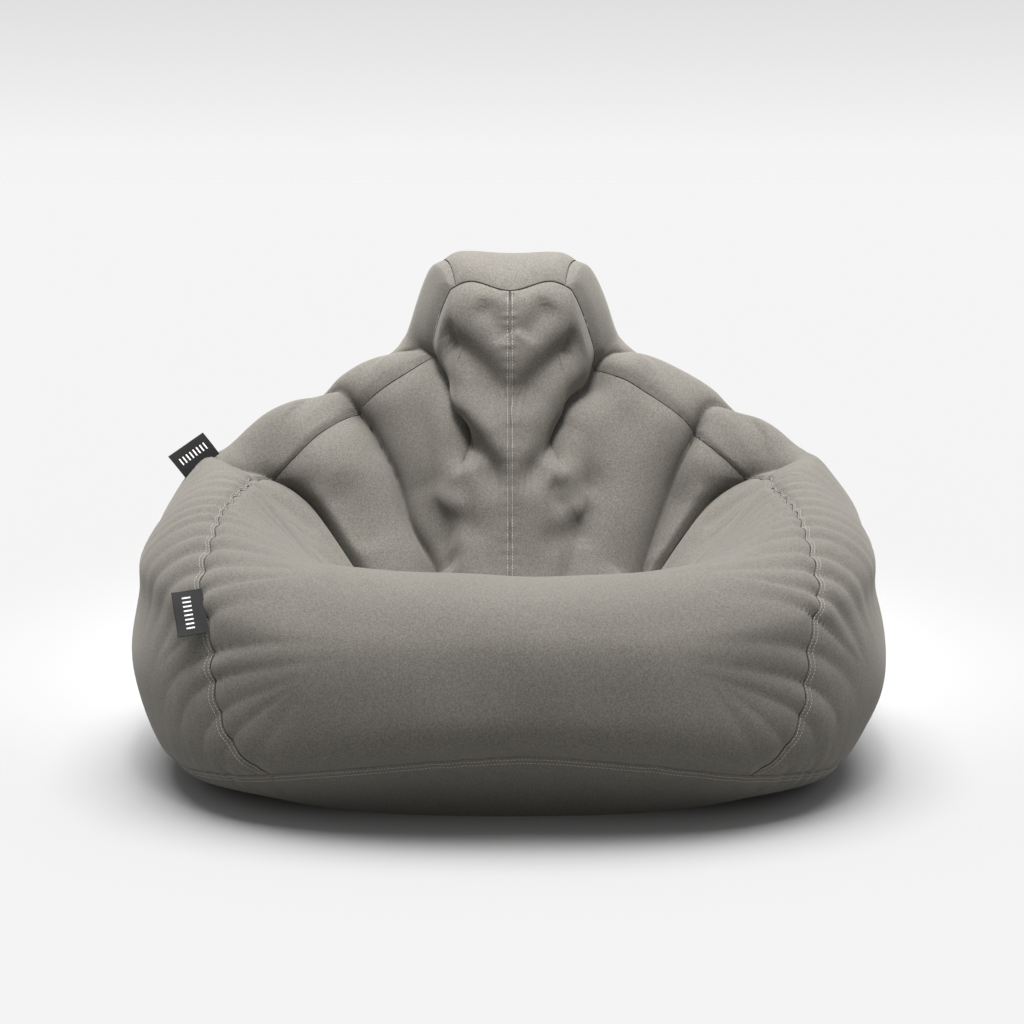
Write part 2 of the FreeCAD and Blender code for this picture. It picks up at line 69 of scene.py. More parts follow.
# reach from the pit line and height (mm) at each bearing: waist, shoulder, rim, inside of
# the rim, inside middle, inside low, seat
RINGS = [
    ([415, 420, 390, 347, 384, 384, 378, 369, 361, 355, 351, 350.6],
     [245, 252, 272, 288, 296, 318, 340, 358, 372, 390, 400, 401]),
    ([372, 378, 350, 312, 356, 350, 331, 316, 307, 301, 298, 297.2],
     [270, 282, 312, 336, 355, 400, 435, 460, 485, 523, 536, 536]),
    ([290, 300, 275, 250, 319, 290, 279, 264, 254, 236, 227, 223],
     [282, 292, 325, 360, 385, 437, 475, 503, 528, 629, 645, 647]),
    ([215, 215, 200, 195, 260, 235, 230, 222, 212, 148, 138, 134],
     [262, 266, 290, 325, 345, 400, 440, 468, 495, 604, 616, 603]),
    ([160, 155, 145, 150, 200, 195, 190, 185, 172, 125, 112, 106],
     [222, 225, 245, 275, 295, 340, 370, 390, 410, 490, 500, 500]),
    ([105, 100, 95, 100, 135, 140, 140, 138, 132, 110, 96, 90],
     [182, 182, 195, 220, 238, 265, 285, 295, 300, 350, 360, 360]),
    ([50, 50, 45, 45, 60, 65, 70, 70, 68, 60, 56, 52],
     [158, 158, 162, 172, 180, 192, 200, 205, 208, 220, 225, 225]),
]
RISE = np.array([0, 0.095, 0.21, 0.30, 0.39, 0.475, 0.565, 0.65, 0.735, 0.83, 0.925, 1.0])


def pchip(keys, values, x):
    """Monotone cubic, level at both ends."""
    keys, values = np.asarray(keys, float), np.asarray(values, float)
    step = np.diff(keys)
    slope = np.diff(values) / step
    tangent = np.zeros(len(keys))
    for i in range(1, len(keys) - 1):
        if slope[i - 1] * slope[i] > 0:
            a, b = 2 * step[i] + step[i - 1], step[i] + 2 * step[i - 1]
            tangent[i] = (a + b) / (a / slope[i - 1] + b / slope[i])
    i = np.clip(np.searchsorted(keys, x) - 1, 0, len(keys) - 2)
    t = (x - keys[i]) / step[i]
    return (values[i] * (1 + 2 * t) * (1 - t) ** 2 + tangent[i] * step[i] * t * (1 - t) ** 2
            + values[i + 1] * t * t * (3 - 2 * t) + tangent[i + 1] * step[i] * t * t * (t - 1))


def ease(x, start, end):
    t = np.clip((x - start) / (end - start), 0, 1)
    return t * t * (3 - 2 * t)


def outline_reach(bearing, half_width, front, rear, squareness):
    s, c = np.sin(np.radians(bearing)), np.cos(np.radians(bearing))
    depth = np.where(c > 0, front, rear)
    low, high = np.zeros_like(bearing), np.full_like(bearing, 0.8)
    for _ in range(40):
        mid = (low + high) / 2
        inside = (np.abs((PIT_HALF + mid) * s / half_width) ** squareness
                  + np.abs(mid * c / depth) ** squareness) < 1
        low, high = np.where(inside, mid, low), np.where(inside, high, mid)
    return low


def spline_matrix(knots):
    """Maps values at the knots to the natural cubic's second derivatives."""
    n = len(knots)
    h = np.diff(knots)
    left, right = np.eye(n), np.zeros((n, n))
    for i in range(1, n - 1):
        left[i, i - 1:i + 2] = h[i - 1], 2 * (h[i - 1] + h[i]), h[i]
        right[i, i - 1:i + 2] = 6 / h[i - 1], -6 / h[i - 1] - 6 / h[i], 6 / h[i]
    return np.linalg.solve(left, right)


def spline_weights(knots, bend, x):
    """Weight of each knot's value at every x."""
    h = np.diff(knots)
    i = np.clip(np.searchsorted(knots, x) - 1, 0, len(knots) - 2)
    a, b = (knots[i + 1] - x) / h[i], (x - knots[i]) / h[i]
    w = ((a ** 3 - a)[:, None] * bend[i] + (b ** 3 - b)[:, None] * bend[i + 1])
    w *= (h[i] ** 2 / 6)[:, None]
    rows = np.arange(len(x))
    w[rows, i] += a
    w[rows, i + 1] += b
    return w


TABLE_AT = np.linspace(0, 180, 3601)
REACH = [outline_reach(TABLE_AT, *o[:4]) for o in OUTLINES]
REACH += [pchip(BEARINGS, r, TABLE_AT) / 1000 for r, _ in RINGS] + [0 * TABLE_AT]
HEIGHT = [pchip(BEARINGS, o[4], TABLE_AT) / 1000 for o in OUTLINES]
HEIGHT += [pchip(BEARINGS, h, TABLE_AT) / 1000 for _, h in RINGS] + [0 * TABLE_AT + PIT_HEIGHT]
BEND = spline_matrix(RISE)


def skin(bearing, rise):
    """Points of the smooth skin, one per (bearing, rise)."""
    bearing = (bearing + 180) % 360 - 180
    side, around = np.sign(bearing), np.abs(bearing)
    w = spline_weights(RISE, BEND, np.clip(rise, 0, 1))
    r = sum(w[:, k] * np.interp(around, TABLE_AT, REACH[k]) for k in range(12))
    z = sum(w[:, k] * np.interp(around, TABLE_AT, HEIGHT[k]) for k in range(12))
    s, c = np.sin(np.radians(around)), np.cos(np.radians(around))
    along = np.where(around <= PIT_CORNER, around / PIT_CORNER,
                     (180 - around) / (180 - PIT_CORNER))
    near = np.exp(-(r / 0.018) ** 2)
    x = PIT_HALF * ((1 - near) * s + near * along) + r * s
    return np.stack([side * x, PIT_Y - r * c, np.maximum(z, 0)], -1)


def normals(bearing, rise):
    across = skin(bearing + 0.3, rise) - skin(bearing - 0.3, rise)
    along = skin(bearing, np.minimum(rise + 0.002, 1)) - skin(bearing, np.maximum(rise - 0.002, 0))
    n = np.cross(across, along)
    n[rise > 0.998] = (0, 0, 1)
    return n / (np.linalg.norm(n, axis=1, keepdims=True) + 1e-12)


# ---- the elevation drawing ----------------------------------------------------------
# Folds are sketched as seen by someone 3 m in front, eye 9 degrees up: (across, up) in mm
# from the middle of the drawing.
EYE_DISTANCE, EYE_TILT, EYE_HEIGHT = 3.0, math.radians(9), 0.3172
EYE_BACK = np.array([0, -math.cos(EYE_TILT), math.sin(EYE_TILT)])
EYE_UP = np.array([0, math.sin(EYE_TILT), math.cos(EYE_TILT)])
EYE = np.array([0, PIT_Y, EYE_HEIGHT]) + EYE_DISTANCE * EYE_BACK
FAR = 1e9


def on_drawing(points):
    ray = points - EYE
    depth = -(ray @ EYE_BACK)
    return np.stack([ray[..., 0], ray @ EYE_UP], -1) * (EYE_DISTANCE * 1000 / depth)[..., None]


LOOK_B, LOOK_R = np.meshgrid(np.arange(-180, 180, 1.0), np.arange(0, 1.0001, 0.004),
                             indexing="ij")
LOOK = skin(LOOK_B.ravel(), LOOK_R.ravel())
LOOK_N = normals(LOOK_B.ravel(), LOOK_R.ravel())
LOOK_2D = on_drawing(LOOK)
LOOK_SEEN = ((EYE - LOOK) * LOOK_N).sum(1) > 0


def from_drawing(points):
    """The places on the front of the back under drawn points."""
    usable = LOOK_SEEN & (LOOK_R.ravel() > 0.56) & (np.abs(LOOK_B.ravel()) > 100)
    found = []
    for p in points:
        if 0 < p[1] < 1:            # already a (bearing, rise)
            found.append(skin(np.array([float(p[0])]), np.array([float(p[1])]))[0])
            continue
        d = np.hypot(*(LOOK_2D - np.array(p, float)).T)
        d[~usable] = FAR
        found.append(LOOK[np.argmin(d)])
    return np.array(found)


def dense_path(points, step=0.004):
    """A smooth path through points, at even steps."""
    points = np.asarray(points, float)
    marks = np.concatenate([[0], np.cumsum(np.linalg.norm(np.diff(points, axis=0), axis=1))])
    keep = np.concatenate([[True], np.diff(marks) > 1e-6])
    points, marks = points[keep], marks[keep]
    if len(points) < 3:
        t = np.linspace(0, marks[-1], max(int(marks[-1] / step), 2))
        return np.stack([np.interp(t, marks, points[:, k]) for k in range(3)], -1)
    t = np.linspace(0, marks[-1], max(int(marks[-1] / step), 4))
    return spline_weights(marks, spline_matrix(marks), t) @ points


def nearest(points, path, reach):
    """Distance to a path and place along it, only for points within reach of its box."""
    low, high = path.min(0) - reach, path.max(0) + reach
    near = np.flatnonzero(((points > low) & (points < high)).all(1))
    distance = np.full(len(near), FAR)
    place = np.zeros(len(near), int)
    for k, p in enumerate(path):
        d = np.linalg.norm(points[near] - p, axis=1)
        closer = d < distance
        distance[closer], place[closer] = d[closer], k
    step = np.gradient(path, axis=0)
    step /= np.linalg.norm(step, axis=1, keepdims=True)
    slip = ((points[near] - path[place]) * step[place]).sum(1)
    inner = (place > 0) & (place < len(path) - 1)
    distance = np.where(inner, np.sqrt(np.maximum(distance ** 2 - slip ** 2, 0)), distance)
    return near, distance, place


# ---- seams ------------------------------------------------------------------------
BASE_RISE, SHOULDER_RISE, CAP_REAR_RISE, CAP_CORNER = 0.095, 0.65, 0.505, 163.0
SIDE_SEAM = [(30, 0.095), (35.5, 0.165), (39, 0.25), (43, 0.37), (51, 0.485),
             (67, 0.555), (86, 0.595), (106, 0.63), (120.5, 0.65)]
CREASE_SEAM = [(120.5, 0.65), (122.5, 0.70), (124, 0.775), (124, 0.87), (124, 1.0)]
REAR_SEAM = [(140, 0.095), (143, 0.20), (147, 0.30), (153, 0.40), (160, 0.47), (163, 0.505)]
CAP_SIDE = [(163, 0.505), (163.6, 0.57), (163, 0.65)]
ZIP_FROM, ZIP_TO = 0.318, 0.462
ZIP_HALF_GAP, REAR_REACH, DEGREES = 0.0043, 0.45, 57.3
EDGE_GRADING = 0.62


def seam_line(stations, count=240):
    """(bearing, rise) at even steps of real length along a seam."""
    s = np.array(stations, float)
    marks = np.concatenate([[0], np.cumsum(np.hypot(np.diff(s[:, 0]) / 130, np.diff(s[:, 1])))])
    if len(s) > 2:
        fine = spline_weights(marks, spline_matrix(marks), np.linspace(0, marks[-1], 600)) @ s
    else:
        fine = s[0] + (s[1] - s[0]) * np.linspace(0, 1, 600)[:, None]
    fine[-1] = s[-1]
    real = skin(fine[:, 0], fine[:, 1])
    length = np.concatenate([[0], np.cumsum(np.linalg.norm(np.diff(real, axis=0), axis=1))])
    t = np.linspace(0, length[-1], count)
    return np.stack([np.interp(t, length, fine[:, k]) for k in (0, 1)], -1)


def along(line, t):
    x = np.linspace(0, 1, len(line))
    return np.stack([np.interp(t, x, line[:, k]) for k in (0, 1)], -1)


def mirror(line):
    return np.stack([-line[:, 0], line[:, 1]], -1)


def around_back(line):
    return np.stack([360 - line[:, 0], line[:, 1]], -1)


def graded(count):
    """0..1 in count steps, closer together towards both ends."""
    t = np.linspace(0, 1, count + 1)
    return t - EDGE_GRADING * np.sin(2 * np.pi * t) / (2 * np.pi)


def spread(bottom, top, left, right, columns, rows):
    """Fill four edge lines with (bearing, rise): first index across, second upwards."""
    u = graded(columns)
    w = graded(rows)
    b, t = along(bottom, u), along(top, u)
    l, r = along(left, w), along(right, w)
    uu, ww = u[:, None, None], w[None, :, None]
    corners_part = ((1 - uu) * (1 - ww) * b[0] + uu * (1 - ww) * b[-1]
                    + (1 - uu) * ww * t[0] + uu * ww * t[-1])
    return ((1 - ww) * b[:, None] + ww * t[:, None] + (1 - uu) * l[None] + uu * r[None]
            - corners_part)


def zip_edge(line):
    """The rear seam, drawn back from the middle beside the zip."""
    line = line.copy()
    opening = ease(line[:, 1], ZIP_FROM - 0.008, ZIP_FROM - 0.003)
    opening *= 1 - ease(line[:, 1], ZIP_TO - 0.003, ZIP_TO + 0.004)
    line[:, 0] -= ZIP_HALF_GAP / REAR_REACH * DEGREES * opening
    return line


DETAIL = 1.0


def count_of(n):
    return int(n * DETAIL)


side_seam, crease = seam_line(SIDE_SEAM), seam_line(CREASE_SEAM)
rear_seam, cap_side = seam_line(REAR_SEAM), seam_line(CAP_SIDE)
front_side = np.concatenate([seam_line(SIDE_SEAM, 300), seam_line(CREASE_SEAM, 180)[1:]])
side_rear = np.concatenate([seam_line(REAR_SEAM, 400), seam_line(CAP_SIDE, 110)[1:]])


def across(b0, b1, rise):
    return seam_line([(b0, rise), (b1, rise)])


PANELS = {
    "cover_front_panel": spread(
        across(-30, 30, BASE_RISE), across(-PIT_CORNER, PIT_CORNER, 1.0),
        mirror(front_side), front_side, count_of(210), count_of(240)),
    "cover_side_panel_right": spread(
        across(30, 140, BASE_RISE), across(120.5, CAP_CORNER, SHOULDER_RISE),
        side_seam, side_rear, count_of(190), count_of(190)),
    "cover_backrest_panel_right": spread(
        across(120.5, 180, SHOULDER_RISE), across(PIT_CORNER, 180, 1.0),
        crease, seam_line([(180, SHOULDER_RISE), (180, 1.0)]), count_of(120), count_of(170)),
    "cover_rear_panel_right": spread(
        across(140, 180, BASE_RISE), across(CAP_CORNER, 180, CAP_REAR_RISE),
        rear_seam, zip_edge(seam_line([(180, BASE_RISE), (180, CAP_REAR_RISE)])),
        count_of(70), count_of(150)),
    "cover_top_cap": spread(
        across(CAP_CORNER, 360 - CAP_CORNER, CAP_REAR_RISE),
        across(CAP_CORNER, 360 - CAP_CORNER, SHOULDER_RISE),
        cap_side, around_back(cap_side), count_of(80), count_of(50)),
}
for name in ("side", "backrest", "rear"):
    grid = PANELS["cover_%s_panel_right" % name]
    PANELS["cover_%s_panel_left" % name] = np.stack([-grid[..., 0], grid[..., 1]], -1)[::-1]

# ---- folds --------------------------------------------------------------------------
# line, drawn in mm or given as (bearing, rise) where the second number is between 0 and 1;
# depth in mm (negative raises); width on the left and on the right of the line (mm); CREASE
# or ROLL; how much of each end fades
CREASE, ROLL = 1, 2
CREASES = [
    # between each arm and the back, along the crease seam
    ([(-108, 0.53), (-114, 0.60), (-120.5, 0.65), (-122.5, 0.70), (-124, 0.775),
      (-124, 0.87), (-124, 0.97)], 36, 34, 12, CREASE, 0.12, 0.10),
    ([(108, 0.53), (114, 0.60), (120.5, 0.65), (122.5, 0.70), (124, 0.775),
      (124, 0.87), (124, 0.97)], 36, 12, 34, CREASE, 0.12, 0.10),
    # between the two folds of the back, each side, over the rim and down behind
    ([(-136, 0.44), (-139, 0.53), (-230, 175), (-210, 155), (-185, 125), (-165, 90),
      (-145, 40), (-125, -10), (-105, -50), (-90, -85)], 46, 17, 32, CREASE, 0.25, 0.05),
    ([(131, 0.44), (132, 0.53), (270, 150), (250, 130), (240, 110), (220, 70),
      (190, 10), (170, -35), (150, -85)], 46, 32, 17, CREASE, 0.25, 0.05),
    # beside the headrest column
    ([(-153, 0.50), (-155, 0.57), (-125, 210), (-105, 170), (-85, 120), (-75, 80),
      (-65, 50)], 46, 30, 13, CREASE, 0.25, 0.15),
    ([(152, 0.50), (154, 0.57), (130, 200), (120, 170), (105, 145), (85, 95), (70, 50)],
     46, 13, 30, CREASE, 0.25, 0.15),
]
ROLLS = [
    # headrest column, its left side and then its right
    ([(-45, 280), (-20, 255), (-5, 220)], 8, 18, 16, ROLL, 0.3, 0.2),
    ([(60, 280), (35, 255), (15, 230)], 8, 16, 18, ROLL, 0.3, 0.2),
    ([(-95, 235), (-60, 205), (-20, 165), (0, 120)], 20, 22, 22, ROLL, 0.15, 0.35),
    ([(95, 230), (65, 200), (25, 165), (5, 120)], 20, 22, 22, ROLL, 0.15, 0.35),
    ([(-100, 160), (-60, 140), (-25, 100), (-5, 50)], -11, 18, 18, ROLL, 0.15, 0.4),
    ([(-80, 125), (-50, 95), (-25, 55), (-10, 10)], 19, 18, 18, ROLL, 0.15, 0.35),
    ([(95, 130), (65, 100), (35, 60), (10, 15)], 18, 18, 18, ROLL, 0.15, 0.35),
    ([(-125, 40), (-90, 20), (-50, 0)], -7, 16, 16, ROLL, 0.4, 0.3),
    ([(-100, 0), (-60, -20), (-20, -40)], 6, 20, 20, ROLL, 0.4, 0.4),
    ([(65, 50), (65, 25), (80, 0)], 6, 15, 15, ROLL, 0.3, 0.4),
    ([(115, 30), (95, 10), (80, -5)], -7, 16, 16, ROLL, 0.4, 0.3),
    ([(110, -10), (70, -30), (25, -45)], 6, 20, 20, ROLL, 0.4, 0.4),
    # long soft folds down the back
    ([(-120, 60), (-100, 0), (-80, -50)], 5, 16, 16, ROLL, 0.3, 0.2),
    ([(120, 70), (105, 0), (90, -50)], 5, 16, 16, ROLL, 0.3, 0.2),
    ([(-180, 95), (-160, 30), (-135, -30), (-120, -75)], -4, 14, 14, ROLL, 0.2, 0.2),
    ([(-230, 60), (-200, 10), (-175, -45)], 5, 18, 18, ROLL, 0.3, 0.2),
    ([(-260, 50), (-220, -5), (-190, -55)], -4, 12, 12, ROLL, 0.2, 0.2),
    ([(230, 60), (205, 10), (180, -45)], 5, 18, 18, ROLL, 0.3, 0.2),
    ([(260, 50), (225, -5), (190, -55)], -4, 12, 12, ROLL, 0.2, 0.2),
    # long soft folds down the inside of the arms
    ([(-320, 30), (-285, 0), (-250, -35)], 3, 10, 10, ROLL, 0.3, 0.3),
    ([(-340, 20), (-310, -5), (-270, -40)], 3, 10, 10, ROLL, 0.3, 0.3),
    ([(330, 30), (290, 5), (250, -30)], 3, 10, 10, ROLL, 0.3, 0.3),
    ([(350, 25), (315, -5), (275, -40)], 3, 10, 10, ROLL, 0.3, 0.3),
]
# every drawn line is laid on the skin once
LAID = [(dense_path(from_drawing(line)), *rest) for line, *rest in CREASES + ROLLS]


def fold_depth(points):
    """How far the creases and rolls push every point in, and draw it sideways."""
    depth, draw = np.zeros(len(points)), np.zeros((len(points), 3))
    for path, deep, wide_left, wide_right, sharp, fade_in, fade_out in LAID:
        near, distance, place = nearest(points, path, 0.11)
        ahead = path[np.minimum(place + 1, len(path) - 1)] - path[np.maximum(place - 1, 0)]
        flat = on_drawing(points[near]) - on_drawing(path[place])
        run = on_drawing(path[place] + ahead) - on_drawing(path[place])
        turn = run[:, 0] * flat[:, 1] - run[:, 1] * flat[:, 0]
        turn /= np.linalg.norm(run, axis=1) * 4 + 1e-9
        mix = 0.5 + 0.5 * np.tanh(turn)
        wide = (wide_right + (wide_left - wide_right) * mix) / 1000
        t = place / (len(path) - 1)
        strength = ease(t, -1e-6, max(fade_in, 1e-3)) * (1 - ease(t, 1 - fade_out, 1))
        x = distance / wide
        if sharp == CREASE:
            shape = 0.55 * np.exp(-x / 0.45) + 0.45 * np.exp(-(x / 1.6) ** 2)
            rim = path[:, 2].max()
            below = 1 - ease(points[near, 2], rim - 0.05, rim + 0.005)
            strength = strength * (0.45 + 0.55 * below)
            pull = 0.55 * np.exp(-(x / 1.3) ** 2) * strength
            draw[near] -= (points[near] - path[place]) * pull[:, None]
        else:
            shape = np.exp(-x * x)
        depth[near] += deep / 1000 * strength * shape
    return depth, draw


rng = np.random.default_rng(7)
WAVES = [(rng.normal(size=3) * k, rng.uniform(0, 6.28), a) for k, a in
         [(9, 1.6), (9, 1.6), (14, 1.2), (14, 1.2), (14, 1.2), (24, 0.6), (24, 0.6), (24, 0.6),
          (40, 0.3), (40, 0.3), (40, 0.3)]]


def unevenness(points):
    """Slow lumps of the filling, a few mm."""
    return sum(a / 1000 * np.sin(points @ k + p) for k, p, a in WAVES)


def hum(x, seed):
    """Smooth noise about -1..1 along a line."""
    r = np.random.default_rng(seed)
    return sum(r.uniform(0.4, 1) * np.sin(x * f + r.uniform(0, 6.28)) for f in (1.0, 1.7, 2.9)) / 2


def seam_ripples(points):
    """Puckers across the side seams: depth of each point, and its sideways shift."""
    raised, shift = np.zeros(len(points)), np.zeros((len(points), 3))
    for side in (-1, 1):
        line = along(side_seam, np.linspace(0, 1, 260))
        path = skin(side * line[:, 0], line[:, 1])
        face = normals(side * line[:, 0], line[:, 1])
        step = np.gradient(path, axis=0)
        marks = np.concatenate([[0], np.cumsum(np.linalg.norm(np.diff(path, axis=0), axis=1))])
        step /= np.linalg.norm(step, axis=1, keepdims=True)
        out = np.cross(step, face) * side
        near, distance, place = nearest(points, path, 0.22)
        gap = points[near] - path[place]
        outer = (gap * out[place]).sum(1)
        outer = np.where(outer > 0, 1.0, -1.0) * distance
        s = marks[place] + (gap * step[place]).sum(1)
        away = np.abs(outer)
        high = ease(s, 0.34, 0.56)
        low = 1 - ease(s, 0.05, 0.20)
        ramp = np.linspace(-0.1, marks[-1] + 0.1, 800)
        pitches = 0.040 - 0.015 * ease(ramp, 0.34, 0.56)
        pitches = pitches * (1 + 0.16 * hum(ramp * 22, 11 + side))
        turns = np.concatenate([[0], np.cumsum(np.diff(ramp) / pitches[1:])])
        lean = np.where(outer > 0, 0.10 * away + 1.4 * away ** 2, 0.06 * away + 0.7 * away ** 2)
        lean = lean * (1 - high) + high * 0.9 * away * np.where(outer > 0, 0.15, 0.10)
        lean += low * away * np.where(outer > 0, 0.35, -0.25)
        phase = np.interp(s + lean, ramp, turns) * 2 * np.pi
        crest = np.abs(np.sin(phase / 2)) ** 0.9 - 0.62
        strong = 0.75 + 0.45 * hum(np.floor(phase / 6.283) * 2.7 + side, 5)
        reach = np.where(outer > 0, 0.075, 0.105) * (1 + 0.25 * hum(phase * 0.55, 23 + side))
        reach = reach * (1 + 0.35 * high)
        fade = np.exp(-(away / reach) ** 2) * (0.72 + 0.28 * np.exp(-(away / 0.025) ** 2))
        size = 0.0080 * (1 - high) + 0.0036 * high
        size = size * (1 - 0.55 * low) * (1 - ease(s, marks[-1] - 0.10, marks[-1] + 0.02))
        size = size * ease(s, -0.03, 0.03)
        raised[near] += size * strong * crest * fade
        hold = np.exp(-(away / 0.028) ** 2) * ease(s, 0.02, 0.10)
        hold = hold * (1 - ease(s, marks[-1] - 0.06, marks[-1]))
        bend = np.sin(phase - 0.8) * 0.0022 * (0.6 + 0.8 * high)
        shift[near] += (out[place] * (hold * bend)[:, None])
    return raised, shift


def base_puckers(bearing, rise):
    """Small upright puckers gathered by the base seam."""
    up = np.exp(-np.abs(rise - BASE_RISE) / 0.05)
    turn = np.radians(bearing) * 0.55 + 0.6 * hum(np.radians(bearing) * 3, 31)
    wave = np.abs(np.sin(turn * 24)) ** 0.9 - 0.6
    some = 0.5 + 0.5 * hum(np.radians(bearing) * 5, 37)
    return 0.0022 * up * wave * np.clip(some, 0, 1)


def centre_puckers(bearing, rise, points):
    """The crinkled cloth along the middle seam of the back."""
    away = np.abs(points[:, 0])
    inside = (np.abs(bearing) > 150) & (rise > SHOULDER_RISE)
    wave = np.sin(points[:, 2] * 420 + 1.5 * hum(points[:, 2] * 60, 41))
    wave = wave * np.exp(-(away / 0.010) ** 2)
    return np.where(inside, 0.0007 * wave, 0)


def quiet_zip(bearing, rise):
    """1 everywhere, falling to 0 beside the zip, where the cloth lies flat."""
    side = np.abs((bearing + 180) % 360 - 180)
    zone = ease(side, 172.5, 176.5) * ease(rise, ZIP_FROM - 0.04, ZIP_FROM - 0.01)
    return 1 - zone * (1 - ease(rise, ZIP_TO + 0.008, ZIP_TO + 0.03))


# ---- build the cover ------------------------------------------------------------------
def edge_distances(p):
    """Real distance of every grid point from the left, right, bottom and top edges."""
    du = np.linalg.norm(np.diff(p, axis=0), axis=2)
    dv = np.linalg.norm(np.diff(p, axis=1), axis=2)
    left = np.concatenate([np.zeros((1, p.shape[1])), np.cumsum(du, 0)])
    bottom = np.concatenate([np.zeros((p.shape[0], 1)), np.cumsum(dv, 1)], 1)
    return left, left[-1] - left, bottom, bottom[:, -1:] - bottom


def mesh_object(name, verts, faces):
    mesh = bpy.data.meshes.new(name)
    mesh.from_pydata([tuple(v) for v in verts], [], faces)
    mesh.update()
    mesh.polygons.foreach_set("use_smooth", [True] * len(mesh.polygons))
    obj = bpy.data.objects.new(name, mesh)
    bpy.context.scene.collection.objects.link(obj)
    return obj


def grid_faces(nu, nv):
    i, j = np.meshgrid(np.arange(nu - 1), np.arange(nv - 1), indexing="ij")
    a = (i * nv + j).ravel()
    return np.stack([a, a + nv, a + nv + 1, a + 1], -1).tolist()


# a panel's border is drawn in by EDGE_IN, then turned down in rings of (gap, drop)
EDGE_IN, EDGE_RINGS = 0.0013, [(0.0003, 0.0012), (0.0001, 0.0060)]


def border_loop(nu, nv):
    """Grid indices round the border, the way the faces' outline runs."""
    bottom = [i * nv for i in range(nu)]
    right = [(nu - 1) * nv + j for j in range(1, nv)]
    top = [i * nv + nv - 1 for i in range(nu - 2, -1, -1)]
    left = [j for j in range(nv - 2, 0, -1)]
    return bottom + right + top + left


def seam_valley(distance):
    """Cloth dips towards a seam: a soft hollow and a sharper one."""
    return 0.0035 * np.exp(-(distance / 0.018) ** 2) + 0.0016 * np.exp(-distance / 0.004)


def shaped(b, r):
    """Final surface points and normals at (bearing, rise)."""
    p, n = skin(b, r), normals(b, r)
    raised, shift = seam_ripples(p)
    raised += base_puckers((b + 180) % 360 - 180, r) + centre_puckers(b, r, p)
    raised += unevenness(p) * ease(r, 0.0, 0.12)
    depth, draw = fold_depth(p)
    calm = quiet_zip(b, r) * ease(r, 0.0, 0.04)
    return p + n * ((raised - depth) * calm)[:, None] + (shift + draw) * calm[:, None], n


cover = {}
for name, grid in PANELS.items():
    b, r = grid[..., 0].ravel(), grid[..., 1].ravel()
    p, n = shaped(b, r)
    p, n = p.reshape(grid.shape[:2] + (3,)), n.reshape(grid.shape[:2] + (3,))
    to_edge = np.minimum.reduce(edge_distances(p))
    calm = quiet_zip(b, r).reshape(grid.shape[:2])
    cover[name] = (p - n * (seam_valley(to_edge) * calm)[..., None], n)


def panel_object(name):
    """The panel's grid with its edges turned down into the seams."""
    p, n = cover[name]
    nu, nv = p.shape[:2]
    flat_p, flat_n = p.reshape(-1, 3), n.reshape(-1, 3)
    loop = border_loop(nu, nv)
    inner_u = np.clip(np.arange(nu), 1, nu - 2)
    inner_v = np.clip(np.arange(nv), 1, nv - 2)
    inside = p[inner_u][:, inner_v].reshape(-1, 3)
    toward = inside - flat_p
    toward /= np.linalg.norm(toward, axis=1, keepdims=True) + 1e-9
    edge = flat_p[loop]
    rim_normal = flat_n[loop]
    verts = flat_p.copy()
    verts[loop] = edge + toward[loop] * EDGE_IN
    faces = grid_faces(nu, nv)
    last, count = loop, len(loop)
    for gap, drop in EDGE_RINGS:
        start = len(verts)
        verts = np.concatenate([verts, edge + toward[loop] * gap - rim_normal * drop])
        faces += [(last[(i + 1) % count], start + (i + 1) % count, start + i, last[i])
                  for i in range(count)]
        last = list(range(start, start + count))
    return mesh_object(name + "_cloth", verts, faces)


# ---- materials ----------------------------------------------------------------------
def node(tree, kind, **inputs):
    made = tree.nodes.new(kind)
    for key, value in inputs.items():
        made.inputs[key.replace("_", " ")].default_value = value
    return made


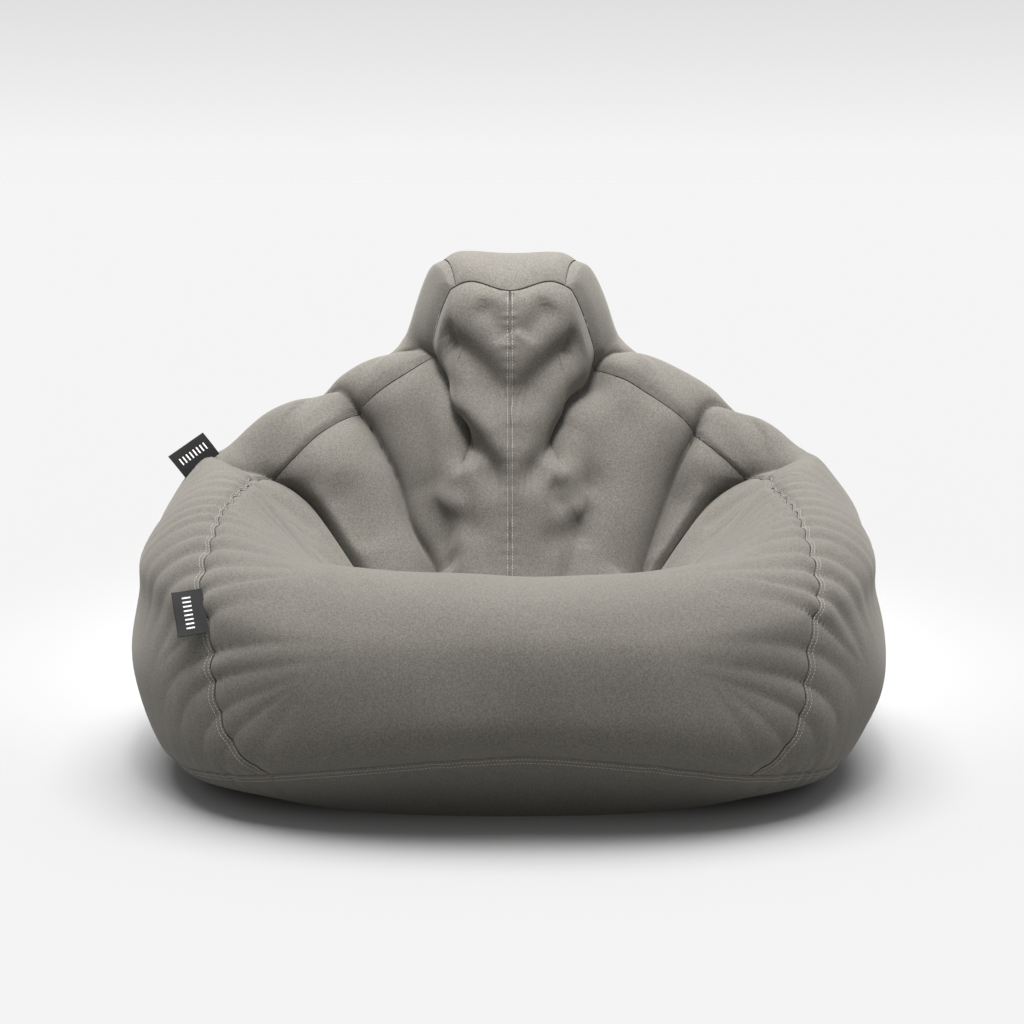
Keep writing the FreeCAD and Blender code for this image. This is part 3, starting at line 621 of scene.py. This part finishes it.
def cloth_material(name, colour, grain=480.0, bump=0.35):
    m = bpy.data.materials.new(name)
    m.use_nodes = True
    t = m.node_tree
    bsdf = t.nodes["Principled BSDF"]
    where = t.nodes.new("ShaderNodeTexCoord")
    speck = node(t, "ShaderNodeTexNoise", Scale=grain, Detail=3.0, Roughness=0.7)
    cloud = node(t, "ShaderNodeTexNoise", Scale=9.0, Detail=4.0, Roughness=0.6)
    for tex in (speck, cloud):
        t.links.new(where.outputs["Object"], tex.inputs["Vector"])
    ramp = t.nodes.new("ShaderNodeValToRGB")
    ramp.color_ramp.elements[0].position = 0.36
    ramp.color_ramp.elements[1].position = 0.64
    ramp.color_ramp.elements[0].color = (*[c * 0.74 for c in colour], 1)
    ramp.color_ramp.elements[1].color = (*[c * 1.26 for c in colour], 1)
    t.links.new(speck.outputs["Fac"], ramp.inputs["Fac"])
    tint = t.nodes.new("ShaderNodeMix")
    tint.data_type = "RGBA"
    tint.blend_type = "MULTIPLY"
    tint.inputs["Factor"].default_value = 1.0
    soft = t.nodes.new("ShaderNodeValToRGB")
    soft.color_ramp.elements[0].position = 0.25
    soft.color_ramp.elements[1].position = 0.75
    soft.color_ramp.elements[0].color = (0.94, 0.94, 0.94, 1)
    soft.color_ramp.elements[1].color = (1.04, 1.035, 1.03, 1)
    t.links.new(cloud.outputs["Fac"], soft.inputs["Fac"])
    t.links.new(ramp.outputs["Color"], tint.inputs["A"])
    t.links.new(soft.outputs["Color"], tint.inputs["B"])
    t.links.new(tint.outputs["Result"], bsdf.inputs["Base Color"])
    relief = node(t, "ShaderNodeBump", Strength=bump, Distance=0.0006)
    t.links.new(speck.outputs["Fac"], relief.inputs["Height"])
    t.links.new(relief.outputs["Normal"], bsdf.inputs["Normal"])
    bsdf.inputs["Roughness"].default_value = 0.9
    bsdf.inputs["Specular IOR Level"].default_value = 0.2
    bsdf.inputs["Sheen Weight"].default_value = 0.14
    bsdf.inputs["Sheen Roughness"].default_value = 0.5
    bsdf.inputs["Sheen Tint"].default_value = (0.86, 0.82, 0.75, 1)
    return m


taupe = cloth_material("taupe_weave", (0.088, 0.0825, 0.0725))

for name in PANELS:
    obj = panel_object(name)
    obj.data.materials.append(taupe)
    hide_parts(name)
    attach(obj, "bag")

# base panel: the turned-up rim of the bottom, closed by its flat middle in FLOOR_RINGS
FLOOR_RINGS = (0.3, 0.6, 0.85)
base_front = seam_line([(-30, BASE_RISE), (30, BASE_RISE)], count_of(160))[:, 0]
base_side = seam_line([(30, BASE_RISE), (180, BASE_RISE)], count_of(300))[:, 0]
base_b = np.concatenate([base_front[:-1], base_side[:-1], -base_side[1:][::-1]])
rises = np.linspace(0, BASE_RISE, count_of(40))
bb, rr = np.meshgrid(base_b, rises, indexing="ij")
p, n = shaped(bb.ravel(), rr.ravel())
p, n = p.reshape(bb.shape + (3,)), n.reshape(bb.shape + (3,))
to_seam = np.linalg.norm(p - p[:, -1:], axis=2)
p = p - n * (seam_valley(to_seam) * ease(rr, 0.0, 0.04))[..., None]
edge_in = p[:, -2] - p[:, -1]
edge_in /= np.linalg.norm(edge_in, axis=1, keepdims=True)
edge, edge_n = p[:, -1].copy(), n[:, -1]
p[:, -1] += edge_in * EDGE_IN
extra = [edge + edge_in * gap - edge_n * drop for gap, drop in EDGE_RINGS]
p = np.concatenate([p] + [e[:, None] for e in extra], 1)
centre = p[:, 0].mean(0)
inner = [centre + (p[:, 0] - centre) * s for s in FLOOR_RINGS]
p = np.concatenate([np.stack(inner, 1), p], 1)
p[:, :len(FLOOR_RINGS), 2] = 0
nb, nr = p.shape[:2]
base_rows = p[:, len(FLOOR_RINGS):len(FLOOR_RINGS) + bb.shape[1]]
base_normals = n
verts = p.reshape(-1, 3)
faces = []
for i in range(nb):
    k = (i + 1) % nb
    faces += [(i * nr + j, k * nr + j, k * nr + j + 1, i * nr + j + 1) for j in range(nr - 1)]
faces.append([i * nr for i in range(nb)][::-1])
base = mesh_object("cover_base_panel_cloth", verts, faces)
base.data.materials.append(taupe)
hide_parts("cover_base_panel", "liner_front_panel_left",
            "liner_front_panel_right", "liner_rear_panel",
            "liner_base_panel", "bead_fill")
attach(base, "bag")

# ---- topstitching ---------------------------------------------------------------------
thread = bpy.data.materials.new("stitch_thread")
thread.use_nodes = True
t = thread.node_tree
ply = node(t, "ShaderNodeTexNoise", Scale=2600.0, Detail=2.0)
t.links.new(t.nodes.new("ShaderNodeTexCoord").outputs["Object"], ply.inputs["Vector"])
tone = t.nodes.new("ShaderNodeValToRGB")
tone.color_ramp.elements[0].color = (0.20, 0.19, 0.17, 1)
tone.color_ramp.elements[1].color = (0.35, 0.33, 0.30, 1)
t.links.new(ply.outputs["Fac"], tone.inputs["Fac"])
t.links.new(tone.outputs["Color"], t.nodes["Principled BSDF"].inputs["Base Color"])
t.nodes["Principled BSDF"].inputs["Roughness"].default_value = 0.7

# length and spacing of the stitches, radius of the thread, sides of its section
STITCH, PITCH, THREAD, SIDES = 0.0031, 0.0042, 0.00036, 6
TWIN, BASE_TWIN, SINGLE = (0.0032, 0.0095), (0.0035, 0.0095), (0.0034,)


def line_at(panel, edge, offset):
    """The line on a panel at a distance from its left or right edge, with its normals."""
    p, n = cover[panel]
    distance = edge_distances(p)[0 if edge == "left" else 1]
    p, n, distance = p.transpose(1, 0, 2), n.transpose(1, 0, 2), distance.T
    if edge == "right":
        p, n, distance = p[:, ::-1], n[:, ::-1], distance[:, ::-1]
    points, faces = [], []
    for row, up, d in zip(p, n, distance):
        points.append([np.interp(offset, d, row[:, k]) for k in range(3)])
        faces.append([np.interp(offset, d, up[:, k]) for k in range(3)])
    return np.array(points), np.array(faces)


def stitch_piece(name, lines):
    """Rows of sewn thread: a small rounded bead for every stitch."""
    around = np.array([(math.cos(a), math.sin(a)) for a in np.arange(SIDES) * math.pi / 3])
    section = [(-0.5, 0.0), (-0.42, 0.75), (-0.15, 1.0), (0.15, 1.0), (0.42, 0.75), (0.5, 0.0)]
    verts, faces = [], []
    for points, ups in lines:
        marks = np.concatenate([[0], np.cumsum(np.linalg.norm(np.diff(points, axis=0), axis=1))])
        at = np.arange(PITCH, marks[-1] - PITCH, PITCH)
        mid = np.stack([np.interp(at, marks, points[:, k]) for k in range(3)], -1)
        up = np.stack([np.interp(at, marks, ups[:, k]) for k in range(3)], -1)
        run = np.stack([np.interp(at + 0.001, marks, points[:, k]) for k in range(3)], -1) - mid
        run /= np.linalg.norm(run, axis=1, keepdims=True) + 1e-12
        side = np.cross(up, run)
        side /= np.linalg.norm(side, axis=1, keepdims=True) + 1e-12
        up = np.cross(run, side)
        for m, r, u, w in zip(mid + up * 0.00015, run, up, side):
            start = len(verts)
            verts.append(m + r * STITCH * section[0][0] - u * 0.0003)
            for x, size in section[1:-1]:
                for c, k in around:
                    verts.append(m + r * STITCH * x + (w * c + u * k) * THREAD * size)
            verts.append(m + r * STITCH * section[-1][0] - u * 0.0003)
            first, final = start + 1, start + 1 + (len(section) - 3) * SIDES
            for ring in range(len(section) - 3):
                for k in range(SIDES):
                    a = first + ring * SIDES + k
                    b = first + ring * SIDES + (k + 1) % SIDES
                    faces.append((a, b, b + SIDES, a + SIDES))
            for k in range(SIDES):
                after = (k + 1) % SIDES
                faces.append((start, first + after, first + k))
                faces.append((final + SIDES, final + k, final + after))
    obj = mesh_object(name, verts, faces)
    obj.data.materials.append(thread)
    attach(obj, "bag")


# the edge of each panel that lies along the stitched seam: in a left panel, the side seam is
# its right edge and the middle of the back its left edge
for side, other in (("left", "right"), ("right", "left")):
    stitch_piece("side_seam_topstitch_" + side,
                 [line_at("cover_side_panel_" + side, other, d) for d in TWIN])
    stitch_piece("back_seam_topstitch_" + side,
                 [line_at("cover_backrest_panel_" + side, side, d) for d in SINGLE])

base_lines = []
for offset in BASE_TWIN:
    points, ups = [], []
    for row, up in zip(base_rows, base_normals):
        d = np.concatenate([[0], np.cumsum(np.linalg.norm(np.diff(row[::-1], axis=0), axis=1))])
        points.append([np.interp(offset, d, row[::-1, k]) for k in range(3)])
        ups.append([np.interp(offset, d, up[::-1, k]) for k in range(3)])
    base_lines.append((np.array(points + points[:1]), np.array(ups + ups[:1])))
stitch_piece("base_seam_topstitch", base_lines)

# ---- labels ---------------------------------------------------------------------------


def woven_material(name, colour, scale=2400.0, rough=0.55, depth=0.0002):
    m = bpy.data.materials.new(name)
    m.use_nodes = True
    t = m.node_tree
    where = t.nodes.new("ShaderNodeTexCoord")
    bands = []
    for way in ("X", "Y"):
        wave = t.nodes.new("ShaderNodeTexWave")
        wave.bands_direction = way
        wave.inputs["Scale"].default_value = scale / 6
        t.links.new(where.outputs["Object"], wave.inputs["Vector"])
        bands.append(wave)
    both = t.nodes.new("ShaderNodeMath")
    both.operation = "MULTIPLY"
    for k, wave in enumerate(bands):
        t.links.new(wave.outputs["Fac"], both.inputs[k])
    tone = t.nodes.new("ShaderNodeValToRGB")
    tone.color_ramp.elements[0].color = (*[c * 0.7 for c in colour], 1)
    tone.color_ramp.elements[1].color = (*[c * 1.5 for c in colour], 1)
    t.links.new(both.outputs[0], tone.inputs["Fac"])
    t.links.new(tone.outputs["Color"], t.nodes["Principled BSDF"].inputs["Base Color"])
    relief = node(t, "ShaderNodeBump", Strength=0.5, Distance=depth)
    t.links.new(both.outputs[0], relief.inputs["Height"])
    t.links.new(relief.outputs["Normal"], t.nodes["Principled BSDF"].inputs["Normal"])
    t.nodes["Principled BSDF"].inputs["Roughness"].default_value = rough
    t.nodes["Principled BSDF"].inputs["Specular IOR Level"].default_value = 0.12
    return m


label_black = woven_material("label_black_satin", (0.006, 0.006, 0.0065))
label_light = woven_material("label_light_bars", (0.62, 0.61, 0.58))
LABEL_REACH, LABEL_LENGTH = 0.033, 0.062
LOOP_HALF, LOOP_TAPER, LOOP_TIP = 0.00062, 0.00042, 0.0006
# the light bars, in mm: half the row, its offset, spacing, width, and reach from and to
BAR_ROW, BAR_OFFSET, BAR_PITCH, BAR_WIDTH, BAR_FROM, BAR_TO = 22, 22.2, 6, 2.6, 11, 21


def label_piece(name, cad_node, body, middle, run, reach, curl):
    """A folded loop of woven ribbon with a row of plain light bars, no lettering."""
    run, reach = Vector(run).normalized(), Vector(reach)
    reach = (reach - run * reach.dot(run)).normalized()
    thick = run.cross(reach)
    side_steps, fold_steps = 62, 34
    profile = [(x, LOOP_HALF - LOOP_TAPER * (1 - x / LABEL_REACH)) for x in
               np.linspace(-0.004, LABEL_REACH - LOOP_TIP, fold_steps)]
    profile += [(LABEL_REACH - LOOP_TIP + LOOP_TIP * math.sin(a), LOOP_HALF * math.cos(a))
                for a in np.linspace(0.3, math.pi - 0.3, 6)]
    profile += [(x, -y) for x, y in profile[:fold_steps][::-1]]
    verts, faces, marks = [], [], []
    for i in range(side_steps + 1):
        y = (i / side_steps - 0.5) * LABEL_LENGTH
        for x, z in profile:
            lift = curl * (x / LABEL_REACH) ** 2 + 0.0006 * math.sin(y * 90) * x / LABEL_REACH
            verts.append(tuple(Vector(middle) + reach * x + run * y + thick * (z + lift)))
    n = len(profile)
    for i in range(side_steps):
        y = (i + 0.5) / side_steps * 62 - 31
        for k in range(n - 1):
            x = 500 * (profile[k][0] + profile[k + 1][0])
            faces.append((i * n + k, (i + 1) * n + k, (i + 1) * n + k + 1, i * n + k + 1))
            bar = (abs(y) < BAR_ROW and (y + BAR_OFFSET) % BAR_PITCH < BAR_WIDTH
                   and BAR_FROM < x < BAR_TO)
            marks.append(1 if bar else 0)
    obj = mesh_object(name, verts, faces)
    obj.data.materials.append(label_black)
    obj.data.materials.append(label_light)
    obj.data.polygons.foreach_set("material_index", marks)
    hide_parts(cad_node)
    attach(obj, body)


label_piece("side_label_loop", "side_label", "side_label_flap", (-0.366459, -0.306490, 0.247883),
            (-0.206817, 0.657632, 0.724394), (-0.977507, -0.107632, -0.181369), 0.002)
label_piece("shoulder_label_loop", "shoulder_label", "shoulder_label_flap",
            (-0.420538, 0.102248, 0.368744), (0.684368, 0.569649, 0.455127),
            (-0.604168, 0.093588, 0.791342), -0.002)

# ---- the rear zip -----------------------------------------------------------------------
ZIP_FOOT = Vector((0, 0.423998, 0.228779))
ZIP_UP, ZIP_OUT = Vector((0, -0.368354, 0.929686)), Vector((0, 0.929686, 0.368354))
COIL_PITCH, ZIP_LENGTH = 0.0016, 0.300


def zip_coil_piece(side):
    """One side of the coil: a nylon filament wound along the tape's edge."""
    turns = int(ZIP_LENGTH / COIL_PITCH)
    steps, around = 10, 6
    centre_line = []
    for k in range(turns * steps + 1):
        a = 2 * math.pi * k / steps
        x = 0.00185 + 0.00125 * math.cos(a)
        out = -0.0022 + 0.00085 * math.sin(a)
        centre_line.append(ZIP_FOOT + Vector((1, 0, 0)) * side * x + ZIP_OUT * out
                           + ZIP_UP * (0.0002 + (ZIP_LENGTH - 0.0004) * k / (turns * steps)))
    verts, faces = [], []
    for k, p in enumerate(centre_line):
        ahead = centre_line[min(k + 1, len(centre_line) - 1)] - centre_line[max(k - 1, 0)]
        u = ahead.cross(ZIP_UP).normalized()
        v = ahead.cross(u).normalized()
        verts += [tuple(p + (u * math.cos(a) + v * math.sin(a)) * 0.00033)
                  for a in (2 * math.pi * j / around for j in range(around))]
    for k in range(len(centre_line) - 1):
        for j in range(around):
            a, b = k * around + j, k * around + (j + 1) % around
            faces.append((a, b, b + around, a + around))
    name = "left" if side < 0 else "right"
    obj = mesh_object("rear_zip_coil_windings_" + name, verts, faces)
    obj.data.materials.append(nylon)
    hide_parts("rear_zip_coil_" + name)
    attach(obj, "bag")


nylon = woven_material("zip_nylon", (0.055, 0.052, 0.047), rough=0.4)
tape_cloth = woven_material("zip_tape_weave", (0.085, 0.080, 0.070), scale=5200, rough=0.85)
metal = bpy.data.materials.new("zip_dark_metal")
metal.use_nodes = True
t = metal.node_tree
scuff = node(t, "ShaderNodeTexNoise", Scale=900.0, Detail=5.0)
t.links.new(t.nodes.new("ShaderNodeTexCoord").outputs["Object"], scuff.inputs["Vector"])
tone = t.nodes.new("ShaderNodeValToRGB")
tone.color_ramp.elements[0].color = (0.10, 0.098, 0.095, 1)
tone.color_ramp.elements[1].color = (0.26, 0.255, 0.245, 1)
t.links.new(scuff.outputs["Fac"], tone.inputs["Fac"])
t.links.new(tone.outputs["Color"], t.nodes["Principled BSDF"].inputs["Base Color"])
t.nodes["Principled BSDF"].inputs["Metallic"].default_value = 1.0
t.nodes["Principled BSDF"].inputs["Roughness"].default_value = 0.38

for side in (-1, 1):
    zip_coil_piece(side)
for name, material in (("rear_zip_tape_left", tape_cloth), ("rear_zip_tape_right", tape_cloth),
                       ("rear_zip_lower_stop", metal), ("rear_zip_upper_stop", metal),
                       ("rear_zip_slider", metal), ("rear_zip_pull", metal)):
    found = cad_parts[name]
    for obj in found if isinstance(found, list) else [found]:
        if not obj.material_slots:
            obj.data.materials.append(material)
        for slot in obj.material_slots:
            slot.material = material

# ---- floor, light, camera -------------------------------------------------------------
# the sky is brightest at the horizon, so that it meets the floor without a line
FLOOR_HALF, FLOOR_GREY = 60.0, 0.275
SUN_ENERGY, SUN_SIZE, SUN_FROM = 2.6 * math.pi, 52, (0.0, 0.11, 0.99)
SPOT_ENERGY, SPOT_CONE, SPOT_AT, SPOT_AIM = 620, 30, (0, -1.1, 2.6), (0, 0.22, 0.50)
LENS, LENS_SHIFT = 79.85, 2 / 1024
floor = mesh_object("floor", [(-FLOOR_HALF, -FLOOR_HALF, 0), (FLOOR_HALF, -FLOOR_HALF, 0),
                              (FLOOR_HALF, FLOOR_HALF, 0), (-FLOOR_HALF, FLOOR_HALF, 0)],
                    [(0, 1, 2, 3)])
paper = bpy.data.materials.new("paper")
paper.use_nodes = True
matt = paper.node_tree.nodes["Principled BSDF"]
matt.inputs["Base Color"].default_value = (FLOOR_GREY, FLOOR_GREY, FLOOR_GREY, 1)
matt.inputs["Roughness"].default_value = 0.9
matt.inputs["Specular IOR Level"].default_value = 0.0
floor.data.materials.append(paper)
floor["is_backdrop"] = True

lamp = bpy.data.lights.new("overhead", "SUN")
lamp.energy = SUN_ENERGY
lamp.angle = math.radians(SUN_SIZE)
overhead = bpy.data.objects.new("overhead", lamp)
overhead.rotation_mode = "QUATERNION"
overhead.rotation_quaternion = Vector(SUN_FROM).to_track_quat("Z", "Y")
bpy.context.scene.collection.objects.link(overhead)
beam = bpy.data.lights.new("seat_light", "SPOT")
beam.energy = SPOT_ENERGY
beam.spot_size = math.radians(SPOT_CONE)
beam.spot_blend = 1.0
beam.shadow_soft_size = 0.35
seat_light = bpy.data.objects.new("seat_light", beam)
seat_light.location = SPOT_AT
seat_light.rotation_mode = "QUATERNION"
seat_light.rotation_quaternion = (Vector(SPOT_AT) - Vector(SPOT_AIM)).to_track_quat("Z", "Y")
bpy.context.scene.collection.objects.link(seat_light)
world = bpy.data.worlds.new("studio")
world.use_nodes = True
w = world.node_tree
height = w.nodes.new("ShaderNodeSeparateXYZ")
w.links.new(w.nodes.new("ShaderNodeTexCoord").outputs["Generated"], height.inputs[0])
sky = w.nodes.new("ShaderNodeMapRange")
for key, value in (("From Min", 0.0), ("From Max", 0.07), ("To Min", 0.91), ("To Max", 0.73)):
    sky.inputs[key].default_value = value
w.links.new(height.outputs["Z"], sky.inputs["Value"])
w.nodes["Background"].inputs[0].default_value = (1, 1, 1, 1)
w.links.new(sky.outputs["Result"], w.nodes["Background"].inputs[1])
bpy.context.scene.world = world
bpy.context.scene.view_settings.view_transform = "Standard"

camera = bpy.data.objects.new("camera", bpy.data.cameras.new("camera"))
bpy.context.scene.collection.objects.link(camera)
camera.data.lens = LENS
camera.data.shift_x = LENS_SHIFT
camera.location = Vector(EYE)
camera.rotation_mode = "QUATERNION"
camera.rotation_quaternion = (-Vector(EYE_BACK)).to_track_quat("-Z", "Y")
bpy.context.scene.camera = camera

corners = {"start": corners, "end": [list(c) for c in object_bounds()]}
